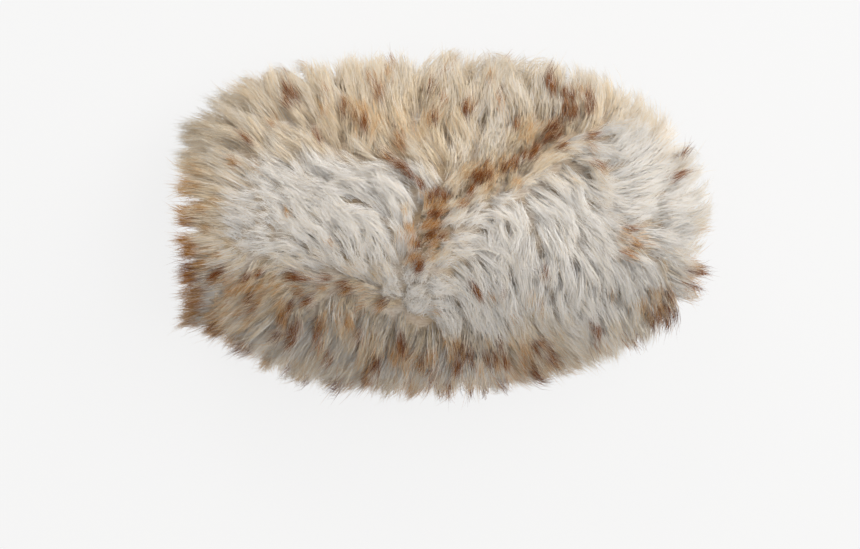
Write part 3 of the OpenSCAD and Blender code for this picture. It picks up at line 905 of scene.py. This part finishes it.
def make_lining(side, material):
    """Half of the lining pouch, sewn down round its edge and slack in the middle."""
    node = "lining_" + side
    origins, directions = lining_rays(side)
    rows, columns = origins.shape[:2]
    first, _ = hits(tree_of("lining_back", "lining_palm"), origins.reshape(-1, 3), directions.reshape(-1, 3))
    reach = mend(mend(first.reshape(rows, columns), 0), 1)
    points = (origins + directions * reach[..., None]).reshape(-1, 3)
    pole = points[(rows - 1) * columns:].mean(0)
    last = (rows - 1) * columns
    faces = grid_faces(rows, columns)
    faces += [[last + j, last + j + 1, rows * columns] for j in range(columns - 1)]
    piece = add_piece(node + "_cloth", np.vstack([points, pole]), faces, material)
    across = np.linalg.norm(np.diff(points.reshape(rows, columns, 3), axis=1), axis=2).sum(1)
    along = np.linalg.norm(np.diff(points.reshape(rows, columns, 3)[:, columns // 2], axis=0), axis=1)
    u = np.linspace(-0.5, 0.5, columns)[None, :] * across[:, None]
    v = np.repeat(np.concatenate([[0], np.cumsum(along)])[:, None], columns, axis=1)
    lay_uv(piece, np.append(u.ravel(), 0), np.append(v.ravel(), v.max()))
    index = np.arange(rows * columns).reshape(rows, columns)
    edge = np.unique(np.concatenate([index[:5].ravel(), index[:, 0], index[:, -1], index[-2:].ravel()]))
    pinned = [int(i) for i in edge] + [rows * columns]
    moved = settle(piece, pinned, 1.0 if side == "back" else 0.15, 0.05)[:-1]
    out = directions.reshape(-1, 3)
    shift = moved - points
    radial = np.sum(shift * out, axis=1)
    shift += out * (np.clip(radial, -LINING_SINK, 0) - radial)[:, None]
    size = np.linalg.norm(shift, axis=1, keepdims=True)
    shift *= np.minimum(1, LINING_SINK / np.maximum(size, 1e-9))
    piece.data.vertices.foreach_set("co", np.vstack([points + shift, pole]).astype(np.float32).ravel())
    apply(piece, "SUBSURF", levels=1, render_levels=1)
    inside = piece.data.polygons[len(piece.data.polygons) // 2]
    facing = inside.normal.dot(inside.center - Vector((inside.center.x, 0, SEAM_Z)))
    apply(piece, "SOLIDIFY", thickness=LINING_T, offset=1.0 if facing > 0 else -1.0, use_rim=True)
    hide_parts(node)
    return piece


def ring_points(node, stations, count):
    """Inner and outer faces of a band round the mouth: two grids of points, with their outward ways."""
    angle = np.linspace(0, 2 * math.pi, count, endpoint=False) + 0.013
    x, angle = np.meshgrid(stations, angle, indexing="ij")
    origins = np.zeros(x.shape + (3,))
    origins[..., 0], origins[..., 2] = x, SEAM_Z
    out = np.stack([np.zeros_like(angle), np.cos(angle), np.sin(angle)], -1)
    first, last = hits(tree_of(node), origins.reshape(-1, 3), out.reshape(-1, 3))
    first, last = (mend(mend(g.reshape(x.shape), 0), 1) for g in (first, last))
    return origins, out, first, last


def gathers(count, waves_round, seed):
    """Uneven ripples round the mouth, 0 to 1."""
    at = np.linspace(0, 2 * math.pi, count, endpoint=False)
    wobble = 0.9 * np.sin(3 * at + seed) + 0.6 * np.sin(7 * at + 2 * seed)
    return (0.5 + 0.5 * np.sin(waves_round * at + wobble)) * (0.75 + 0.25 * np.sin(5 * at + seed))


def closed_band(name, loops, material, replaced):
    """A closed ring: loops is a list of rings of points that run round its section."""
    rows, count = len(loops), loops[0].shape[0]
    faces = grid_faces(rows, count, wrap=True)
    last = (rows - 1) * count
    faces += [[last + j, last + (j + 1) % count, (j + 1) % count, j] for j in range(count)]
    piece = add_piece(name, np.concatenate(loops), faces, material)
    grid = np.array(loops)
    round_way = np.linalg.norm(np.roll(grid[0], -1, axis=0) - grid[0], axis=1)
    u = np.tile(np.concatenate([[0], np.cumsum(round_way)[:-1]]), rows)
    step = np.linalg.norm(grid - np.roll(grid, 1, axis=0), axis=2).mean(1)
    lay_uv(piece, u, np.repeat(np.cumsum(step), count))
    bpy.context.view_layer.objects.active = piece
    fix_normals(piece)
    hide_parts(replaced)
    return piece


def fix_normals(piece):
    work = bmesh.new()
    work.from_mesh(piece.data)
    bmesh.ops.recalc_face_normals(work, faces=work.faces)
    work.to_mesh(piece.data)
    work.free()


def make_casing(material):
    """The tape over the elastic, drawn into gathers between its two rows of stitches."""
    low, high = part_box("elastic_casing")
    stations = np.linspace(low[0] + 0.15 * MM, high[0] - 0.15 * MM, 17)
    count = 560
    origins, out, first, last = ring_points("elastic_casing", stations, count)
    puff = np.sin(math.pi * np.linspace(0.08, 0.92, len(stations))) ** 0.7
    ripple = 0.75 * MM * gathers(count, 64, 1.0)[None, :] * puff[:, None]
    ripple += 0.2 * MM * gathers(count, 113, 2.0)[None, :]
    inner = origins + out * (first - ripple)[..., None]
    outer = origins + out * (last - 0.8 * ripple)[..., None]
    loops = [row for row in inner] + [row for row in outer[::-1]]
    return closed_band("casing_tape", loops, material, "elastic_casing")


def make_binding(material):
    """The tape folded over the raw edges at the mouth."""
    low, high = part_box("mouth_binding")
    count = 560
    _, out, first, last = ring_points("mouth_binding", [low[0] + 2.5 * MM], count)
    out, first, last = out[0], first[0][:, None], last[0][:, None]
    centre = np.array([0, 0, SEAM_Z])
    ruffle = 0.3 * MM * (gathers(count, 78, 3.0)[:, None] - 0.5)
    bulge = 0.35 * MM * gathers(count, 78, 3.6)[:, None]
    tape = 0.8 * MM

    def loop(x, share, inset):
        """A ring at x, share of the way from the inner to the outer face, drawn in by inset."""
        spot = first + (last - first) * share + (0.5 - share) * 2 * inset + ruffle * (1 - abs(share - 0.5))
        ring = centre + out * spot
        ring[:, 0] = x + (bulge[:, 0] - 0.2 * MM) * (1 if x < low[0] + 2 * MM else 0)
        return ring

    front = low[0] + 0.25 * MM
    fold = 0.9 * MM
    inner_end = low[0] + 4.4 * MM
    outer = [loop(inner_end, 0, 0), loop(inner_end - 1 * MM, 0, 0), loop(front + 2 * MM, 0, 0),
             loop(front + fold, 0, 0),
             loop(front + 0.25 * MM, 0.12, 0), loop(front, 0.3, 0), loop(front, 0.7, 0),
             loop(front + 0.25 * MM, 0.88, 0), loop(front + fold, 1, 0), loop(front + 2 * MM, 1, 0),
             loop(high[0] - 2 * MM, 1, 0), loop(high[0], 1, 0)]
    inner = [loop(high[0], 1, tape), loop(front + tape + fold, 1, tape), loop(front + tape, 0.7, 0),
             loop(front + tape, 0.3, 0), loop(front + tape + fold, 0, tape), loop(inner_end, 0, tape)]
    return closed_band("mouth_tape", outer + inner, material, "mouth_binding")


def copy_node(node, name, material, lift, pitch):
    """A hidden sheet: the CAD piece's own faces, welded and made uneven."""
    points, tris = node_mesh(node)
    piece = add_piece(name, points, tris.tolist(), material)
    work = bmesh.new()
    work.from_mesh(piece.data)
    bmesh.ops.remove_doubles(work, verts=work.verts, dist=0.002 * MM)
    work.to_mesh(piece.data)
    work.free()
    flat, normals = points_and_normals(piece.data)
    flat = flat + normals * lift * noise_at(flat, pitch, 10)[:, :1]
    move_points(piece.data, flat)
    lay_uv(piece, flat[:, 1] + flat[:, 2], flat[:, 0])
    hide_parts(node)
    return piece


def dress_inside():
    """The backing, lining, binding, casing, elastic and threads."""
    hide = hide_material()
    knit = cloth_material("lining_knit", (238, 232, 220), (186, 174, 154), 1.1 * MM, 0.8 * MM, 0.00018)
    twill = cloth_material("binding_twill", (214, 190, 150), (150, 122, 84), 0.55 * MM, 0.55 * MM, 0.00014)
    tape = cloth_material("casing_cotton", (236, 228, 212), (176, 162, 138), 0.5 * MM, 0.5 * MM, 0.00012)
    rubber = cloth_material("elastic_rib", (240, 238, 234), (150, 146, 140), 0.9 * MM, 0.45 * MM, 0.0002)
    for side in ("back", "palm"):
        panel = copy_node(side + "_panel", side + "_hide", hide, 0.05 * MM, 6 * MM)
        lining = make_lining(side, knit)
    make_binding(twill)
    make_casing(tape)
    band = copy_node("cuff_elastic", "elastic_band", rubber, 0.02 * MM, 1.0 * MM)
    threads = {"tan_thread": ((206, 176, 130), (140, 108, 68)),
               "white_thread": ((244, 240, 232), (176, 168, 154)),
               "dark_thread": ((120, 104, 88), (62, 52, 42))}
    made = {name: thread_material(name, *tones) for name, tones in threads.items()}
    for node, name in THREAD_NODES.items():
        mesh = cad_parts[node].data
        mesh.materials.clear()
        mesh.materials.append(made[name])


# ---------------------------------------------------------------------------
# Floor, light and camera
# ---------------------------------------------------------------------------
def make_stage():
    bpy.ops.mesh.primitive_plane_add(size=6, location=(0, 0, 0))
    floor = bpy.context.object
    floor.name = "floor"
    m = Nodes("pale_floor")
    m.set(Base_Color=srgb(97, 97, 97), Roughness=0.9, Specular_IOR_Level=0.0,
          Emission_Color=srgb(247, 247, 247), Emission_Strength=0.862)
    floor.data.materials.append(m.material)


def area_light(name, place, target, size, watts, colour=(1, 1, 1)):
    light = bpy.data.lights.new(name, "AREA")
    light.shape, light.size, light.energy, light.color = "DISK", size, watts, colour
    lamp = bpy.data.objects.new(name, light)
    lamp.location = place
    lamp.rotation_euler = (Vector(target) - Vector(place)).to_track_quat("-Z", "Y").to_euler()
    bpy.context.scene.collection.objects.link(lamp)


def make_light():
    world = bpy.data.worlds.new("studio")
    world.use_nodes = True
    world.node_tree.nodes["Background"].inputs[0].default_value = (1.0, 0.985, 0.97, 1)
    world.node_tree.nodes["Background"].inputs[1].default_value = 0.52
    bpy.context.scene.world = world
    area_light("key", (1.2, 0.9, 1.2), (0, 0, 0.04), 1.5, 15, (1.0, 0.975, 0.935))
    area_light("rim", (-0.5, 1.6, 0.9), (0, 0, 0.05), 1.2, 8.5, (1.0, 0.975, 0.935))
    area_light("top", (0.8, 0.0, 2.1), (0, 0, 0), 1.3, 15, (1.0, 0.99, 0.97))


def make_camera():
    camera = bpy.data.cameras.new("camera")
    camera.lens, camera.sensor_width = 85, 36
    eye = bpy.data.objects.new("camera", camera)
    scene = bpy.context.scene
    scene.collection.objects.link(eye)
    scene.camera = eye
    frame_width = 0.445
    height = frame_width * camera.lens / camera.sensor_width
    eye.location = (-0.0080, -0.0252, height + 0.046)
    eye.rotation_euler = (0, 0, 0)


bpy.context.scene.view_settings.view_transform = "Standard"
make_camera()
make_stage()
make_light()
dress_inside()
make_undercoat("back")
make_undercoat("palm")
make_fur("back", "back_panel", round(STRANDS * (1 - PALM_SHARE)), 1.0, "back_pile")
make_fur("palm", "palm_panel", round(STRANDS * PALM_SHARE), 0.0, "palm_pile")
